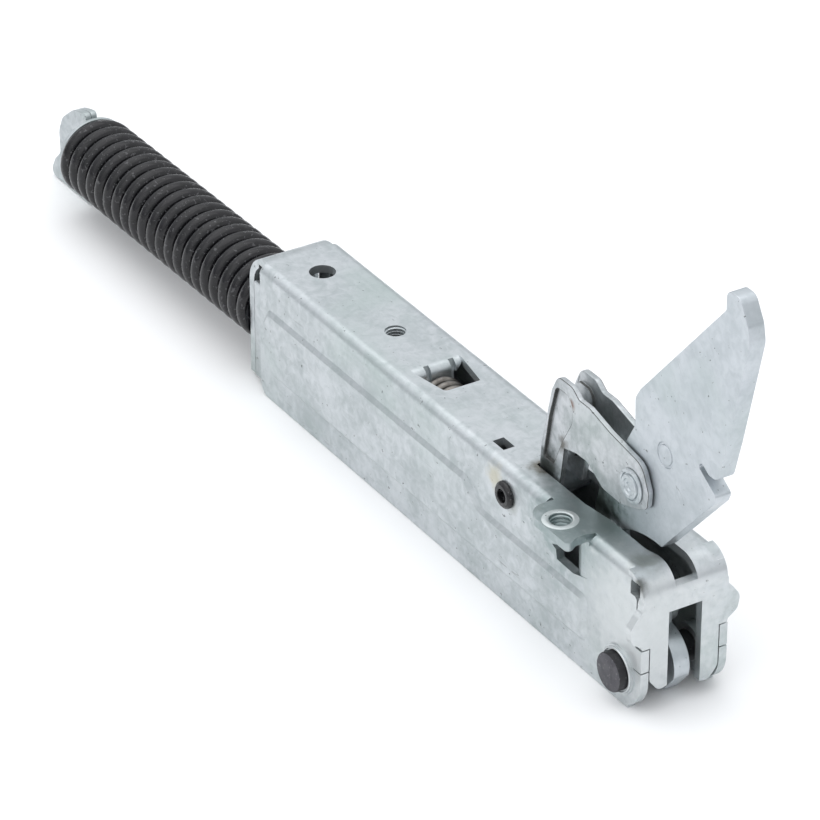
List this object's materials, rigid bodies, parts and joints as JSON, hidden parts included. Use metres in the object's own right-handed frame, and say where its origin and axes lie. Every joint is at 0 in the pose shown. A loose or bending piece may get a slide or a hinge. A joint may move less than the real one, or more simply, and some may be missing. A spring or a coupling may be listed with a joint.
{
  "type": "oven door hinge",
  "caption": "Sprung oven door hinge: folded sheet housing, hooked lever on a pin, tie straps to a compression spring, and a flip-over safety catch.",
  "frame": {"origin": "centre of the threaded hole in the web, on the web's outer face", "axes": "+X runs along the housing to the front end with the lever, +Z points out of the web, and -Y is the side with the threaded ear"},
  "size_m": [0.3018, 0.0302, 0.1074],
  "materials": {
    "zinc_sheet": "bright zinc plated, satin",
    "zinc_plate": "bright zinc plated, satin",
    "dark_pin": "dark phosphated, satin",
    "black_rivet": "black oxide, satin",
    "spring_steel": "black spring steel, satin",
    "inner_spring_steel": "bare spring steel",
    "rivet_steel": "zinc plated"
  },
  "bodies": {
    "housing": {"housing": "zinc_sheet", "main_pin": "dark_pin", "cross_pin": "black_rivet", "outer_spring": "spring_steel", "inner_spring": "inner_spring_steel"},
    "roller": {"guide_roller": "rivet_steel"},
    "lever": {"lever_arm": "zinc_plate", "link_pin": "rivet_steel", "latch_rivet": "rivet_steel"},
    "catch": {"latch_bail": "zinc_sheet"},
    "tie": {"tie_strap_near": "zinc_plate", "tie_strap_far": "zinc_plate", "strap_rivets": "rivet_steel", "spring_cup": "zinc_plate", "spring_stop": "zinc_plate"}
  },
  "joints": [
    {"name": "lever_pivot", "type": "hinge", "parent": "housing", "child": "lever", "pos_m": [0.1081, 0, -0.026], "axis": [0, 1, 0], "range_deg": [0, 46], "stiffness_Nm_per_rad": 0.4, "springref_deg": -6.88},
    {"name": "tie_slide", "type": "slide", "parent": "housing", "child": "tie", "axis": [1, 0, 0], "range_m": [0, 0.009], "deforming": ["outer_spring", "inner_spring"]},
    {"name": "catch_pivot", "type": "hinge", "parent": "lever", "child": "catch", "pos_m": [0.1004, 0, 0.013], "axis": [0, 1, 0], "range_deg": [0, 66]},
    {"name": "roller_spin", "type": "hinge", "parent": "housing", "child": "roller", "pos_m": [0.0635, 0, -0.0063], "axis": [0, 1, 0], "continuous": true}
  ],
  "couplings": [
    {"joint": "tie_slide", "follows": "lever_pivot", "m_per_rad": 0.010707}
  ]
}
